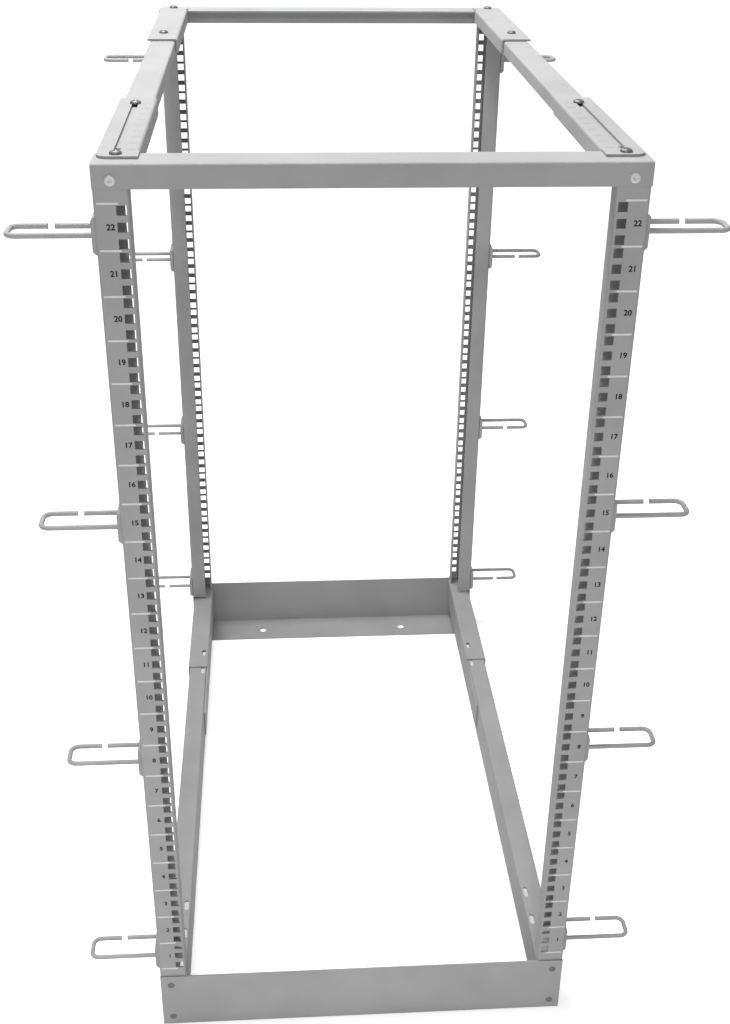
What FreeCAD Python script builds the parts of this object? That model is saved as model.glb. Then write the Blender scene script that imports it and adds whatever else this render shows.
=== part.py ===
import FreeCAD
import Part
import math
import os

V = FreeCAD.Vector

# Four post open frame rack for 19 inch panels, 22 rack units high, of bent
# sheet steel. The floor is at z = 0 and the middle of the plan is at
# x = y = 0. +Y runs from the front posts to the rear posts. Sizes are in mm.

# ---- panel standard ----
UNIT = 44.45
UNITS = 22
HOLE_SPAN = 465.1
HOLE_SIDE = 9.5
HOLE_STEPS = (6.35, 22.225, 38.1)

# ---- overall frame ----
HOLE_MARGIN = 25.45
DEPTH = 946.0
FIRST_UNIT = 99.0
TOP_MARGIN = 36.5
SHEET = 2.0
BEND = 0.75

# ---- posts ----
HOLE_EDGE = 2.8
POST_SIDE = 52.0
POST_INNER_LIP = 20.0
POST_BACK_LIP = 23.5
LIP_CLEARANCE = 4.0

# ---- beams across the front and the rear ----
TOP_BEAM_FACE = 23.0
TOP_BEAM_SHELF = 40.0
BASE_BEAM_FACE = 86.0
BASE_BEAM_SHELF = 65.0
FLOOR_HOLE = 12.0
FLOOR_HOLE_SPAN = 262.0
FLOOR_HOLE_IN = 37.0

# ---- top side rails: a slotted front piece, a slider and a rear piece ----
RAIL_SHEET = 2.5
TOP_RAIL_WIDTH = 39.0
TOP_RAIL_INSET = 3.0
TOP_RAIL_START = 18.0
TOP_RAIL_DROP = 18.0
TOP_RAIL_DROP_INSET = 22.0
TOP_RAIL_CORNER = 12.0
FRONT_RAIL_LENGTH = 254.0
REAR_RAIL_LENGTH = 284.0
ADJUST_SLOT_WIDTH = 6.5
ADJUST_SLOT_START = 24.0
ADJUST_SLOT_END = 24.0
ADJUST_SLOT_IN = 18.0
SLIDER_WIDTH = 33.0
SLIDER_DROP = 16.0
POST_GAP = 6.0

# ---- bottom side rails: a front rail running inside a rear sleeve ----
BASE_RAIL_WIDTH = 28.5
BASE_RAIL_DROP = 57.0
BASE_RAIL_END = 850.0
SLEEVE_TOP_START = 676.0
SLEEVE_WEB_START = 549.0
SLEEVE_DROP = 48.0
LINK_SLOT_WIDTH = 6.0
LINK_SLOT_LENGTH = 17.0
LINK_SLOT_PITCH = 50.0
LINK_SLOTS_FRONT = 3
LINK_SLOTS_REAR = 2
LINK_SLOT_FRONT = 25.0
LINK_SLOT_REAR = 667.0
LINK_SLOT_IN = 5.8
SLIDE_GAP = 0.3

# ---- cable rings on the outer side of every post ----
RING_UNITS = (1, 8, 15, 22)
RING_WIRE = 5.5
RING_REACH = 85.0
RING_START = 13.0
RING_SPACE = 31.0
RING_BEND = 9.0
RING_BEND_CHORDS = 2
RING_WIRE_SIDES = 8
RING_DROP = 11.0
RING_GAP = 7.0
RING_GAP_OUT = 43.0
PLATE_THICKNESS = 5.0
PLATE_HEIGHT = 36.0
PLATE_LENGTH = 44.0
PLATE_START = 8.0
PLATE_CHAMFER = 3.0

# ---- places worked out from the sizes ----
WIDTH = HOLE_SPAN + 2 * HOLE_MARGIN
HEIGHT = FIRST_UNIT + UNITS * UNIT + TOP_MARGIN
SIDE = WIDTH / 2
FRONT = -DEPTH / 2
FACE = FRONT + SHEET
LIP_BOTTOM = BASE_BEAM_FACE + LIP_CLEARANCE
POST_INNER = HOLE_SPAN / 2 - HOLE_SIDE / 2 - HOLE_EDGE
POST_BOTTOM = SHEET + BEND
POST_TOP = HEIGHT - SHEET - BEND
RAIL_END = FACE + SHEET + BEND


def rounded_path(points, radius):
    """Open wire through the points, each corner bent to the radius."""
    edges = []
    start = points[0]
    for here, corner, after in zip(points, points[1:], points[2:]):
        back = (here - corner).normalize()
        ahead = (after - corner).normalize()
        half = back.getAngle(ahead) / 2
        enter = corner + back * (radius / math.tan(half))
        leave = corner + ahead * (radius / math.tan(half))
        inward = (back + ahead).normalize()
        crown = corner + inward * (radius / math.sin(half) - radius)
        edges.append(Part.LineSegment(start, enter).toShape())
        edges.append(Part.Arc(enter, crown, leave).toShape())
        start = leave
    edges.append(Part.LineSegment(start, points[-1]).toShape())
    return Part.Wire(edges)


def bent_sheet(points, thickness, run):
    """Bent sheet with its inner skin on the points, pulled along run."""
    skin = rounded_path(points, BEND)
    sides = [skin.makeOffset2D(sign * thickness, 0, True, True) for sign in (1, -1)]
    return max(sides, key=lambda face: face.Area).extrude(run)


def box(low, high):
    """Block between two opposite corners."""
    size = high - low
    return Part.makeBox(size.x, size.y, size.z, low)


def long_slot(centre, width, length, depth):
    """Round-ended cutter along Y that goes through a level sheet at the centre."""
    straight = (length - width) / 2
    body = box(centre + V(-width / 2, -straight, -depth), centre + V(width / 2, straight, depth))
    ends = [Part.makeCylinder(width / 2, 2 * depth, centre + V(0, side * straight, -depth))
            for side in (-1, 1)]
    return body.multiFuse(ends)


def across(shape):
    """Mirror image on the other side, left to right."""
    return shape.mirror(V(0, 0, 0), V(1, 0, 0))


def behind(shape):
    """Mirror image at the other end, front to rear."""
    return shape.mirror(V(0, 0, 0), V(0, 1, 0))


def make_post():
    """Front right post: bent channel with three square holes in each rack unit."""
    skin = FACE + SHEET
    outer = SIDE - SHEET
    inner = POST_INNER + SHEET
    back = FACE + POST_SIDE - SHEET
    lip_path = [V(inner, FACE + POST_INNER_LIP, LIP_BOTTOM), V(inner, skin, LIP_BOTTOM),
                V(outer, skin, LIP_BOTTOM), V(outer, back, LIP_BOTTOM),
                V(SIDE - POST_BACK_LIP, back, LIP_BOTTOM)]
    channel = bent_sheet(lip_path, SHEET, V(0, 0, POST_TOP - LIP_BOTTOM))
    foot_path = [V(POST_INNER, skin, POST_BOTTOM), V(outer, skin, POST_BOTTOM),
                 V(outer, FACE + POST_SIDE, POST_BOTTOM)]
    foot = bent_sheet(foot_path, SHEET, V(0, 0, LIP_BOTTOM - POST_BOTTOM))
    half = HOLE_SIDE / 2
    holes = []
    for unit in range(UNITS):
        for step in HOLE_STEPS:
            middle = V(HOLE_SPAN / 2, FACE, FIRST_UNIT + unit * UNIT + step)
            holes.append(box(middle - V(half, SHEET, half), middle + V(half, 2 * SHEET, half)))
    return channel.fuse(foot).removeSplitter().cut(Part.makeCompound(holes))


def make_top_beam():
    """Front top beam: an angle with its shelf turned back over the post tops."""
    under = HEIGHT - SHEET
    path = [V(-SIDE, FACE, HEIGHT - TOP_BEAM_FACE), V(-SIDE, FACE, under),
            V(-SIDE, FRONT + TOP_BEAM_SHELF, under)]
    return bent_sheet(path, SHEET, V(WIDTH, 0, 0))


def make_base_beam():
    """Front base beam: a tall angle with its shelf on the floor and two round holes."""
    path = [V(-SIDE, FACE, BASE_BEAM_FACE), V(-SIDE, FACE, SHEET),
            V(-SIDE, FRONT + BASE_BEAM_SHELF, SHEET)]
    beam = bent_sheet(path, SHEET, V(WIDTH, 0, 0))
    for side in (-1, 1):
        middle = V(side * FLOOR_HOLE_SPAN / 2, FRONT + FLOOR_HOLE_IN, -SHEET)
        beam = beam.cut(Part.makeCylinder(FLOOR_HOLE / 2, 3 * SHEET, middle))
    return beam


def make_top_rail(length, slotted):
    """Front right top rail: a level strip on the beam's shelf with a turned-down edge."""
    outer = SIDE - TOP_RAIL_INSET
    inner = outer - TOP_RAIL_WIDTH
    start = FRONT + TOP_RAIL_START
    top = HEIGHT + RAIL_SHEET
    drop_start = start + TOP_RAIL_DROP_INSET
    drop_length = length - TOP_RAIL_DROP_INSET
    path = [V(inner + RAIL_SHEET, drop_start, top - TOP_RAIL_DROP),
            V(inner + RAIL_SHEET, drop_start, HEIGHT), V(outer, drop_start, HEIGHT)]
    angle = bent_sheet(path, RAIL_SHEET, V(0, drop_length, 0))
    end = box(V(inner, start, HEIGHT), V(outer, drop_start, top))
    rail = angle.fuse(end).removeSplitter()
    corner = [edge for edge in rail.Edges
              if abs(edge.CenterOfMass.x - outer) + abs(edge.CenterOfMass.y - start) < 1e-6]
    rail = rail.makeFillet(TOP_RAIL_CORNER, corner)
    if slotted:
        slot_length = length - ADJUST_SLOT_START - ADJUST_SLOT_END
        middle = start + ADJUST_SLOT_START + slot_length / 2
        centre = V(outer - ADJUST_SLOT_IN, middle, HEIGHT)
        rail = rail.cut(long_slot(centre, ADJUST_SLOT_WIDTH, slot_length, 2 * RAIL_SHEET))
    return rail


def make_slider():
    """Right slider: a shallow upside-down channel just under both top rails."""
    middle = SIDE - TOP_RAIL_INSET - TOP_RAIL_WIDTH / 2
    top = HEIGHT - SLIDE_GAP
    low = top - SLIDER_DROP
    start = FACE + POST_SIDE + POST_GAP
    half = SLIDER_WIDTH / 2 - SHEET
    path = [V(middle - half, start, low), V(middle - half, start, top - SHEET),
            V(middle + half, start, top - SHEET), V(middle + half, start, low)]
    return bent_sheet(path, SHEET, V(0, -2 * start, 0))


def slot_row(first, count, x, z):
    """Row of link slots through a rail's top, the first one measured from the front face."""
    return [long_slot(V(x, FRONT + first + index * LINK_SLOT_PITCH, z), LINK_SLOT_WIDTH,
                      LINK_SLOT_LENGTH, 3 * SHEET) for index in range(count)]


def make_base_rail():
    """Right front bottom rail: an upside-down channel that ends at the post's foot."""
    outer = SIDE - 2 * SHEET - SLIDE_GAP
    inner = outer - BASE_RAIL_WIDTH
    top = BASE_BEAM_FACE - SHEET - SLIDE_GAP
    start = FACE + SHEET
    path = [V(inner + SHEET, start, top - BASE_RAIL_DROP), V(inner + SHEET, start, top - SHEET),
            V(outer - SHEET, start, top - SHEET), V(outer - SHEET, start, top - BASE_RAIL_DROP)]
    rail = bent_sheet(path, SHEET, V(0, FRONT + BASE_RAIL_END - start, 0))
    slots = slot_row(LINK_SLOT_FRONT, LINK_SLOTS_FRONT, inner + LINK_SLOT_IN, top)
    slots += slot_row(LINK_SLOT_REAR, LINK_SLOTS_REAR, inner + LINK_SLOT_IN, top)
    return rail.cut(Part.makeCompound(slots))


def make_sleeve():
    """Right rear bottom rail: a channel around the front rail, its inner web longer."""
    outer = SIDE - SHEET
    inner = outer - BASE_RAIL_WIDTH - 2 * (SHEET + SLIDE_GAP)
    under = BASE_BEAM_FACE - SHEET
    low = BASE_BEAM_FACE - SLEEVE_DROP
    start = FRONT + SLEEVE_TOP_START
    path = [V(inner + SHEET, start, low), V(inner + SHEET, start, under),
            V(outer - SHEET, start, under), V(outer - SHEET, start, low)]
    channel = bent_sheet(path, SHEET, V(0, -RAIL_END - start, 0))
    web = box(V(inner, FRONT + SLEEVE_WEB_START, low), V(inner + SHEET, start, under - BEND))
    last = LINK_SLOT_REAR + (LINK_SLOTS_REAR - 1) * LINK_SLOT_PITCH
    slot = slot_row(last, 1, inner + SHEET + SLIDE_GAP + LINK_SLOT_IN, under)
    return channel.fuse(web).removeSplitter().cut(Part.makeCompound(slot))


def wire_along(points):
    """Wire through the points, first along X, with short chords round each bend."""
    bends = [edge.discretize(RING_BEND_CHORDS + 1) for edge in rounded_path(points, RING_BEND).Edges
             if isinstance(edge.Curve, Part.Circle)]
    course = [points[0], *(point for bend in bends for point in bend), points[-1]]
    turns = [2 * math.pi * (side + 0.5) / RING_WIRE_SIDES for side in range(RING_WIRE_SIDES)]
    reach = RING_WIRE / 2 / math.cos(math.pi / RING_WIRE_SIDES)
    outline = [points[0] + V(0, math.cos(turn), math.sin(turn)) * reach for turn in turns]
    profile = Part.makePolygon([*outline, outline[0]])
    return Part.makePolygon(course).makePipeShell([profile], True, True, 1)


def make_ring(unit):
    """Cable ring beside the front right post: bent wire on an upright plate."""
    height = FIRST_UNIT + (unit - 0.5) * UNIT - RING_DROP
    near = FACE + RING_START
    far = near + RING_SPACE
    root = SIDE + PLATE_THICKNESS / 2
    tip = SIDE + RING_REACH
    gap = SIDE + RING_GAP_OUT
    loop = wire_along([V(root, near, height), V(tip, near, height), V(tip, far, height),
                       V(gap + RING_GAP, far, height)])
    stub = wire_along([V(root, far, height), V(gap, far, height)])
    start = FACE + PLATE_START
    low = height - PLATE_HEIGHT / 2
    plate = box(V(SIDE, start, low),
                V(SIDE + PLATE_THICKNESS, start + PLATE_LENGTH, low + PLATE_HEIGHT))
    outer_ends = [edge for edge in plate.Edges
                  if abs(edge.CenterOfMass.x - SIDE - PLATE_THICKNESS) < 1e-6
                  and abs(edge.CenterOfMass.y - start - PLATE_LENGTH / 2) < 1e-6]
    plate = plate.makeChamfer(PLATE_CHAMFER, outer_ends)
    return plate.multiFuse([loop, stub])


def export(name, shape):
    """Save one named piece."""
    shape.exportStep("parts/" + name + ".step")


def main():
    os.makedirs("parts", exist_ok=True)
    post = make_post()
    front_rail = make_top_rail(FRONT_RAIL_LENGTH, True)
    rear_rail = behind(make_top_rail(REAR_RAIL_LENGTH, False))
    slider = make_slider()
    base_rail = make_base_rail()
    sleeve = make_sleeve()
    export("top_beam_front", make_top_beam())
    export("top_beam_rear", behind(make_top_beam()))
    export("base_beam_front", make_base_beam())
    export("base_beam_rear", behind(make_base_beam()))
    for side, turn in (("right", lambda shape: shape), ("left", across)):
        export("post_front_" + side, turn(post))
        export("post_rear_" + side, turn(behind(post)))
        export("top_rail_front_" + side, turn(front_rail))
        export("top_rail_rear_" + side, turn(rear_rail))
        export("top_slider_" + side, turn(slider))
        export("base_rail_front_" + side, turn(base_rail))
        export("base_rail_rear_" + side, turn(sleeve))
        for unit in RING_UNITS:
            ring = make_ring(unit)
            export("ring_front_" + side + "_u" + str(unit), turn(ring))
            export("ring_rear_" + side + "_u" + str(unit), turn(behind(ring)))


main()
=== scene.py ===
import math
import bpy
from mathutils import Euler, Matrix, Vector


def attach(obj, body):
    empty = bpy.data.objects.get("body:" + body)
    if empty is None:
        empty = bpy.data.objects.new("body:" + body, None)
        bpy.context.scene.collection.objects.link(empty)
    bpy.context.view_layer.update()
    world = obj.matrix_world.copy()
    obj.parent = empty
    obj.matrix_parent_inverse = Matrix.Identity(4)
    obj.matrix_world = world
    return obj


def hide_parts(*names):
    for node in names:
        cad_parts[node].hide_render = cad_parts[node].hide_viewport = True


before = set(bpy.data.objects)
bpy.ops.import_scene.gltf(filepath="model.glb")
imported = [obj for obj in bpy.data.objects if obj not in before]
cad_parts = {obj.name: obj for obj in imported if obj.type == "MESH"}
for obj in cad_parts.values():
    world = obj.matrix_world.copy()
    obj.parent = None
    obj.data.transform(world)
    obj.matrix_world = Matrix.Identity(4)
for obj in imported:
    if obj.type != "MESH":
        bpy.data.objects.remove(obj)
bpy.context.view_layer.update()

# Sizes of the solids, in millimetres. The floor is at z = 0.
UNIT = 44.45
UNITS = 22
FIRST_UNIT = 99.0
HEIGHT = 1113.4
SIDE = 258.0
FRONT = -473.0
FACE = FRONT + 2.0
RAIL_TOP = HEIGHT + 2.5
RING_UNITS = (1, 8, 15, 22)
RING_WIRE = 5.5
RING_REACH = 85.0
RING_START = 13.0
RING_SPACE = 31.0
RING_BEND = 9.0
RING_DROP = 11.0
RING_GAP = 7.0
RING_GAP_OUT = 43.0
PLATE_THICKNESS = 5.0
PLATE_HEIGHT = 36.0
PLATE_LENGTH = 44.0
PLATE_START = 8.0
PLATE_CHAMFER = 3.0
TOP_RAIL_INSET = 3.0
ADJUST_SLOT_IN = 18.0
ADJUST_SLOT_END = 248.0
ADJUST_SLOT_WIDTH = 6.5

# Places of the screws, from the middle, the end face and the floor.
BEAM_SCREW = (241.0, 1098.5)
BASE_BOLT_OUT = 245.0
BASE_BOLT_HEIGHTS = (71.0, 15.0)
RAIL_BOLT_OUT = SIDE - TOP_RAIL_INSET - ADJUST_SLOT_IN
RAIL_BOLT_IN = 28.0
CLAMP_BOLT_IN = {"front": ADJUST_SLOT_END - ADJUST_SLOT_WIDTH / 2, "rear": 253.0}

# Printed marks: lines and numbers on the front posts, ticks on the slotted rails.
INK_RISE = 0.06
LINE_OUT = (235.0, 255.0)
LINE_HALF = 1.0
NUMBER_HEIGHT = 8.0
NUMBER_OUT = {"right": 248.3, "left": 243.5}
TICKS = 9
TICK_OUT = (220.0, 229.0)
TICK_START = 44.0
TICK_STEP = 25.0
TICK_HALF = 0.6

SIDES = {"right": 1, "left": -1}
ENDS = {"front": 1, "rear": -1}


# ---- materials ----

def shader(name):
    """New material, with its nodes, its links and its shader."""
    material = bpy.data.materials.new(name)
    material.use_nodes = True
    nodes = material.node_tree.nodes
    return material, nodes, material.node_tree.links, nodes["Principled BSDF"]


def mottled(name, dark, light, scale, roughness, metallic=0.0, bump=0.0, grain=2500.0):
    """Surface whose colour wanders a little between two greys, with a fine grain."""
    material, nodes, links, principled = shader(name)
    place = nodes.new("ShaderNodeTexCoord")
    noise = nodes.new("ShaderNodeTexNoise")
    noise.inputs["Scale"].default_value = scale
    noise.inputs["Detail"].default_value = 4.0
    ramp = nodes.new("ShaderNodeValToRGB")
    ramp.color_ramp.elements[0].position = 0.3
    ramp.color_ramp.elements[1].position = 0.7
    ramp.color_ramp.elements[0].color = (*dark, 1.0)
    ramp.color_ramp.elements[1].color = (*light, 1.0)
    links.new(place.outputs["Object"], noise.inputs["Vector"])
    links.new(noise.outputs["Fac"], ramp.inputs["Fac"])
    links.new(ramp.outputs["Color"], principled.inputs["Base Color"])
    principled.inputs["Roughness"].default_value = roughness
    principled.inputs["Metallic"].default_value = metallic
    principled.inputs["Specular IOR Level"].default_value = 0.08
    if bump:
        fine = nodes.new("ShaderNodeTexNoise")
        fine.inputs["Scale"].default_value = grain
        fine.inputs["Detail"].default_value = 2.0
        relief = nodes.new("ShaderNodeBump")
        relief.inputs["Strength"].default_value = bump
        relief.inputs["Distance"].default_value = 0.0002
        links.new(place.outputs["Object"], fine.inputs["Vector"])
        links.new(fine.outputs["Fac"], relief.inputs["Height"])
        links.new(relief.outputs["Normal"], principled.inputs["Normal"])
    return material


PAINT = mottled("grey_powder_coat", (0.27, 0.27, 0.272), (0.305, 0.305, 0.307), 14.0, 0.6,
                bump=0.25)
WIRE = mottled("ring_powder_coat", (0.27, 0.27, 0.272), (0.31, 0.31, 0.312), 40.0, 0.5, 0.05, 0.15)
ZINC = mottled("pale_screw", (0.42, 0.42, 0.42), (0.50, 0.50, 0.49), 300.0, 0.5, 0.2, 0.1)
GREY = mottled("grey_bolt", (0.13, 0.13, 0.13), (0.16, 0.16, 0.16), 300.0, 0.5, 0.2, 0.1)
BLACK = mottled("dark_bolt", (0.10, 0.10, 0.10), (0.15, 0.15, 0.15), 300.0, 0.4, 0.6, 0.1)
WHITE_INK = mottled("pale_print", (0.5, 0.5, 0.5), (0.58, 0.58, 0.58), 200.0, 0.5)
DARK_INK = mottled("dark_print", (0.012, 0.012, 0.014), (0.025, 0.025, 0.027), 200.0, 0.6)
FAINT_INK = mottled("faint_print", (0.19, 0.19, 0.192), (0.22, 0.22, 0.222), 200.0, 0.6)


# ---- helpers ----

def metres(points):
    """Points in millimetres, turned to metres."""
    return [tuple(value / 1000 for value in point) for point in points]


def piece(name, points, faces, material, body, smooth=False):
    """Mesh piece from points in millimetres, riding on a body of the frame."""
    mesh = bpy.data.meshes.new(name)
    mesh.from_pydata(metres(points), [], faces)
    mesh.update()
    mesh.materials.append(material)
    if smooth:
        mesh.polygons.foreach_set("use_smooth", [True] * len(mesh.polygons))
    made = bpy.data.objects.new(name, mesh)
    bpy.context.scene.collection.objects.link(made)
    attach(made, body)
    return made


def soften(made, width, segments=2):
    """Rounds the sharp edges of a piece."""
    bevel = made.modifiers.new("edges", "BEVEL")
    bevel.width = width / 1000
    bevel.segments = segments
    bevel.limit_method = "ANGLE"
    bevel.angle_limit = math.radians(40)
    return made


class Shape:
    """Points and faces gathered from several plain forms, in millimetres."""

    def __init__(self):
        self.points = []
        self.faces = []

    def add(self, points, faces):
        first = len(self.points)
        self.points += points
        self.faces += [tuple(first + index for index in face) for face in faces]

    def prism(self, outline, run):
        """Outline pulled along run, both ends closed."""
        count = len(outline)
        far = [tuple(p + r for p, r in zip(point, run)) for point in outline]
        walls = [(i, (i + 1) % count, (i + 1) % count + count, i + count) for i in range(count)]
        ends = [tuple(reversed(range(count))), tuple(range(count, 2 * count))]
        self.add([*outline, *far], walls + ends)

    def tube(self, course, radius, sides=16):
        """Round bar along level points, with both ends closed."""
        points = []
        for index, here in enumerate(course):
            before = course[max(index - 1, 0)]
            after = course[min(index + 1, len(course) - 1)]
            along = (after[0] - before[0], after[1] - before[1])
            length = math.hypot(*along)
            across = (-along[1] / length, along[0] / length)
            for side in range(sides):
                turn = 2 * math.pi * side / sides
                out = radius * math.cos(turn)
                points.append((here[0] + across[0] * out, here[1] + across[1] * out,
                               here[2] + radius * math.sin(turn)))
        faces = []
        for index in range(len(course) - 1):
            for side in range(sides):
                a = index * sides + side
                b = index * sides + (side + 1) % sides
                faces.append((a, b, b + sides, a + sides))
        faces.append(tuple(range(sides)))
        faces.append(tuple(reversed(range(len(points) - sides, len(points)))))
        self.add(points, faces)


def corner(centre, radius, first, last, steps=10):
    """Level arc about a centre, from one heading to another, in degrees."""
    turns = [math.radians(first + (last - first) * step / steps) for step in range(steps + 1)]
    return [(centre[0] + radius * math.cos(turn), centre[1] + radius * math.sin(turn), centre[2])
            for turn in turns]


# ---- the solids' finish ----

for name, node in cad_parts.items():
    node.data.materials.clear()
    node.data.materials.append(PAINT)
    if not name.startswith("ring"):
        soften(node, 0.3)


# ---- cable rings ----

def cable_ring(side, end, unit):
    """Round bent wire on its upright plate, in place of the plainer solid."""
    turn, way = SIDES[side], ENDS[end]
    height = FIRST_UNIT + (unit - 0.5) * UNIT - RING_DROP
    near = FACE + RING_START
    far = near + RING_SPACE
    tip = SIDE + RING_REACH
    root = SIDE + PLATE_THICKNESS / 2
    gap = SIDE + RING_GAP_OUT
    shape = Shape()
    loop = [(root, near, height),
            *corner((tip - RING_BEND, near + RING_BEND, height), RING_BEND, -90, 0),
            *corner((tip - RING_BEND, far - RING_BEND, height), RING_BEND, 0, 90),
            (gap + RING_GAP, far, height)]
    shape.tube(loop, RING_WIRE / 2)
    shape.tube([(root, far, height), (gap, far, height)], RING_WIRE / 2)
    low = height - PLATE_HEIGHT / 2
    out, cut = SIDE + PLATE_THICKNESS, PLATE_CHAMFER
    start = FACE + PLATE_START
    outline = [(SIDE, start, low), (out - cut, start, low), (out, start, low + cut),
               (out, start, low + PLATE_HEIGHT - cut), (out - cut, start, low + PLATE_HEIGHT),
               (SIDE, start, low + PLATE_HEIGHT)]
    shape.prism(outline, (0, PLATE_LENGTH, 0))
    points = [(x * turn, y * way, z) for x, y, z in shape.points]
    faces = shape.faces
    if turn * way < 0:
        faces = [tuple(reversed(face)) for face in faces]
    node = f"ring_{end}_{side}_u{unit}"
    made = piece(f"cable_{node}", points, faces, WIRE, f"{end}_frame", smooth=True)
    made.data.set_sharp_from_angle(angle=math.radians(35))
    soften(made, 0.4)
    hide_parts(node)


for end in ENDS:
    for side in SIDES:
        for unit in RING_UNITS:
            cable_ring(side, end, unit)


# ---- screws ----

def screw(name, centre, direction, radius, rise, material, body, sides=24):
    """Domed screw head standing on a face, with a cross recess."""
    profile = [(radius, 0.0), (radius, rise * 0.35), (radius * 0.88, rise * 0.7),
               (radius * 0.66, rise * 0.93), (radius * 0.3, rise), (radius * 0.16, rise * 0.55)]
    axis = "xyz".index(direction[1])
    sign = 1 if direction[0] == "+" else -1
    others = [index for index in range(3) if index != axis]
    points = []
    for ring, lift in profile:
        for side in range(sides):
            turn = 2 * math.pi * side / sides
            spread = ring
            if ring < radius * 0.5 and side % (sides // 4) in (0, 1, sides // 4 - 1):
                spread = min(ring * 1.9, radius * 0.6)
            point = [0.0, 0.0, 0.0]
            point[axis] = centre[axis] + sign * lift
            point[others[0]] = centre[others[0]] + spread * math.cos(turn)
            point[others[1]] = centre[others[1]] + spread * math.sin(turn)
            points.append(tuple(point))
    faces = [(r * sides + s, r * sides + (s + 1) % sides, (r + 1) * sides + (s + 1) % sides,
              (r + 1) * sides + s) for r in range(len(profile) - 1) for s in range(sides)]
    faces.append(tuple((len(profile) - 1) * sides + s for s in range(sides)))
    flip = sign * (-1 if axis == 1 else 1)
    if flip < 0:
        faces = [tuple(reversed(face)) for face in faces]
    made = piece(name, points, faces, material, body, smooth=True)
    made.data.set_sharp_from_angle(angle=math.radians(50))
    return made


for side, turn in SIDES.items():
    for end, way in ENDS.items():
        body = f"{end}_frame"
        outward = "-y" if way > 0 else "+y"
        screw(f"beam_screw_{end}_{side}", (BEAM_SCREW[0] * turn, FRONT * way, BEAM_SCREW[1]),
              outward, 5.2, 1.6, ZINC, body)
        for number, height in enumerate(BASE_BOLT_HEIGHTS):
            screw(f"base_bolt_{end}_{side}_{number}", (BASE_BOLT_OUT * turn, FRONT * way, height),
                  outward, 4.2, 1.4, GREY, body)
        for kind, inward in (("rail", RAIL_BOLT_IN), ("clamp", CLAMP_BOLT_IN[end])):
            screw(f"{kind}_bolt_{end}_{side}",
                  (RAIL_BOLT_OUT * turn, (FRONT + inward) * way, RAIL_TOP), "+z",
                  6.0, 3.2, BLACK, body)


# ---- printed marks ----

def flat(shape, low, high, plane, level):
    """Thin rectangle in a plane at a level, facing outward."""
    if plane == "front":
        points = [(low[0], level, low[1]), (high[0], level, low[1]),
                  (high[0], level, high[1]), (low[0], level, high[1])]
    else:
        points = [(low[0], low[1], level), (high[0], low[1], level),
                  (high[0], high[1], level), (low[0], high[1], level)]
    shape.add(points, [(0, 1, 2, 3)])


def number_mesh(text, height):
    """Flat outline of a number, centred, in millimetres."""
    data = bpy.data.curves.new("number", "FONT")
    data.body = text
    data.align_x = "CENTER"
    data.align_y = "CENTER"
    data.size = height
    data.offset = height * 0.035
    data.resolution_u = 3
    source = bpy.data.objects.new("number", data)
    bpy.context.scene.collection.objects.link(source)
    mesh = bpy.data.meshes.new_from_object(source)
    points = [tuple(vertex.co) for vertex in mesh.vertices]
    faces = [tuple(polygon.vertices) for polygon in mesh.polygons]
    bpy.data.objects.remove(source)
    bpy.data.curves.remove(data)
    bpy.data.meshes.remove(mesh)
    return points, faces


for side, turn in SIDES.items():
    lines = Shape()
    numbers = Shape()
    column = NUMBER_OUT[side] * turn
    low, high = sorted(out * turn for out in LINE_OUT)
    for unit in range(UNITS + 1):
        height = FIRST_UNIT + unit * UNIT
        flat(lines, (low, height - LINE_HALF), (high, height + LINE_HALF), "front",
             FACE - INK_RISE)
        if unit < UNITS:
            points, faces = number_mesh(str(unit + 1), NUMBER_HEIGHT)
            middle = height + UNIT / 2
            numbers.add([(column + x, FACE - INK_RISE, middle + y) for x, y, z in points], faces)
    piece(f"unit_lines_{side}", lines.points, lines.faces, WHITE_INK, "front_frame")
    piece(f"unit_numbers_{side}", numbers.points, numbers.faces, DARK_INK, "front_frame")
    ticks = Shape()
    low, high = sorted(out * turn for out in TICK_OUT)
    for step in range(TICKS):
        along = FRONT + TICK_START + TICK_STEP * step
        flat(ticks, (low, along - TICK_HALF), (high, along + TICK_HALF), "top",
             RAIL_TOP + INK_RISE)
    piece(f"depth_ticks_{side}", ticks.points, ticks.faces, FAINT_INK, "front_frame")


# ---- floor, light and camera ----

def ray_mask(nodes, links, names):
    """1 for rays of the named kinds and 0 for others."""
    path = nodes.new("ShaderNodeLightPath")
    socket = path.outputs[names[0]]
    for name in names[1:]:
        both = nodes.new("ShaderNodeMath")
        both.operation = "MAXIMUM"
        links.new(socket, both.inputs[0])
        links.new(path.outputs[name], both.inputs[1])
        socket = both.outputs[0]
    return socket


SEEN = ("Is Camera Ray", "Is Glossy Ray", "Is Transmission Ray")

floor_paint, nodes, links, principled = shader("pale_floor")
principled.inputs["Base Color"].default_value = (0.86, 0.86, 0.86, 1.0)
principled.inputs["Roughness"].default_value = 0.9
principled.inputs["Specular IOR Level"].default_value = 0.0
principled.inputs["Emission Color"].default_value = (1.0, 1.0, 1.0, 1.0)
place = nodes.new("ShaderNodeTexCoord")
away = nodes.new("ShaderNodeVectorMath")
away.operation = "LENGTH"
rise = nodes.new("ShaderNodeMapRange")
rise.inputs["From Min"].default_value = 1.0
rise.inputs["From Max"].default_value = 4.0
rise.inputs["To Min"].default_value = 0.5
rise.inputs["To Max"].default_value = 0.85
glow = nodes.new("ShaderNodeMath")
glow.operation = "MULTIPLY"
links.new(place.outputs["Object"], away.inputs[0])
links.new(away.outputs["Value"], rise.inputs["Value"])
links.new(ray_mask(nodes, links, SEEN), glow.inputs[0])
links.new(rise.outputs["Result"], glow.inputs[1])
links.new(glow.outputs[0], principled.inputs["Emission Strength"])
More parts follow.
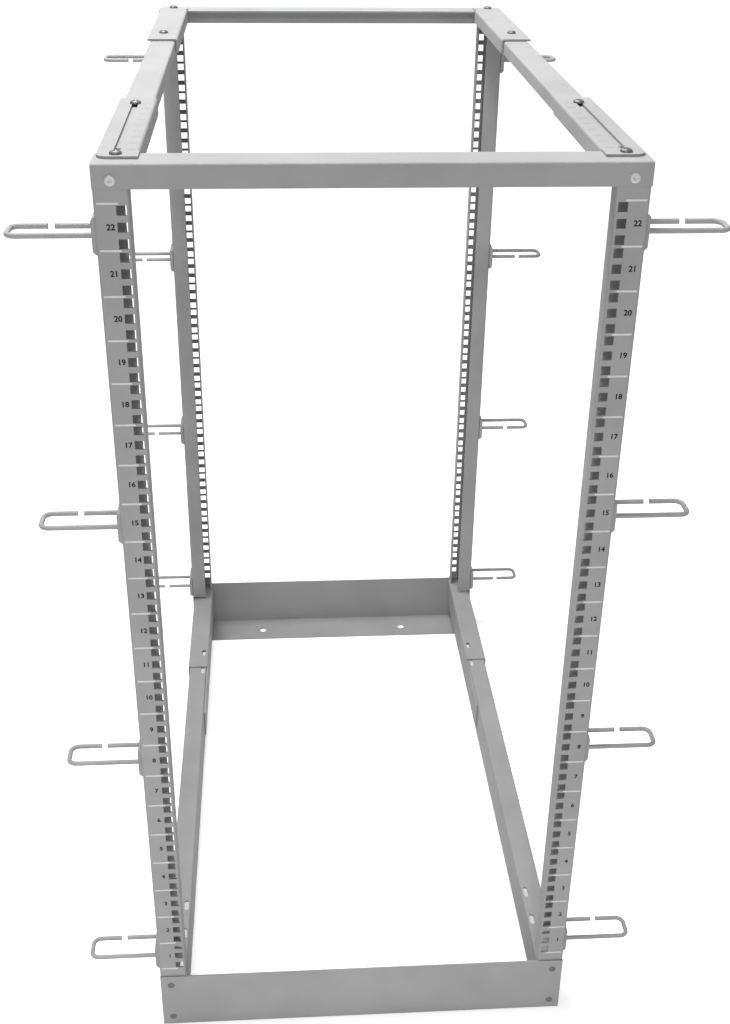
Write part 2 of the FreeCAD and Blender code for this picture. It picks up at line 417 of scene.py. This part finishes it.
FLOOR_HALF = 30.0
mesh = bpy.data.meshes.new("floor")
mesh.from_pydata([(x * FLOOR_HALF, y * FLOOR_HALF, 0)
                  for x, y in ((-1, -1), (1, -1), (1, 1), (-1, 1))], [], [(0, 1, 2, 3)])
mesh.materials.append(floor_paint)
floor = bpy.data.objects.new("floor", mesh)
bpy.context.scene.collection.objects.link(floor)

world = bpy.data.worlds.new("studio")
bpy.context.scene.world = world
world.use_nodes = True
nodes, links = world.node_tree.nodes, world.node_tree.links
background = nodes["Background"]
background.inputs["Color"].default_value = (1.0, 1.0, 1.0, 1.0)
level = nodes.new("ShaderNodeMapRange")
level.inputs["To Min"].default_value = 0.3
level.inputs["To Max"].default_value = 1.0
links.new(ray_mask(nodes, links, SEEN), level.inputs["Value"])
links.new(level.outputs["Result"], background.inputs["Strength"])


def softbox(name, place, target, width, power):
    """Square soft lamp that looks at a point, all in metres."""
    data = bpy.data.lights.new(name, "AREA")
    data.size = width
    data.energy = power
    lamp = bpy.data.objects.new(name, data)
    lamp.location = place
    away = lamp.location - Vector(target)
    lamp.rotation_mode = "QUATERNION"
    lamp.rotation_quaternion = away.to_track_quat("Z", "Y")
    lamp.visible_camera = False
    bpy.context.scene.collection.objects.link(lamp)


softbox("top_lamp", (-0.45, 0.3, 3.0), (0.0, 0.0, 0.6), 1.4, 100.0)
softbox("front_lamp", (-0.25, -4.32, 2.86), (0.0, -0.1, 0.55), 0.24, 50.0)
softbox("low_lamp", (-0.2, -1.8, 0.3), (0.0, 0.0, 0.3), 0.8, 8.0)

lens = bpy.data.cameras.new("camera")
lens.sensor_width = 36.0
lens.lens = 46.9126
lens.clip_start = 0.05
lens.clip_end = 200.0
camera = bpy.data.objects.new("camera", lens)
camera.location = (-0.09342, -1.68436, 1.41778)
camera.rotation_euler = Euler([math.radians(angle) for angle in (61.2691, -0.6767, -3.7629)])
bpy.context.scene.collection.objects.link(camera)
bpy.context.scene.camera = camera
bpy.context.scene.view_settings.view_transform = "Standard"
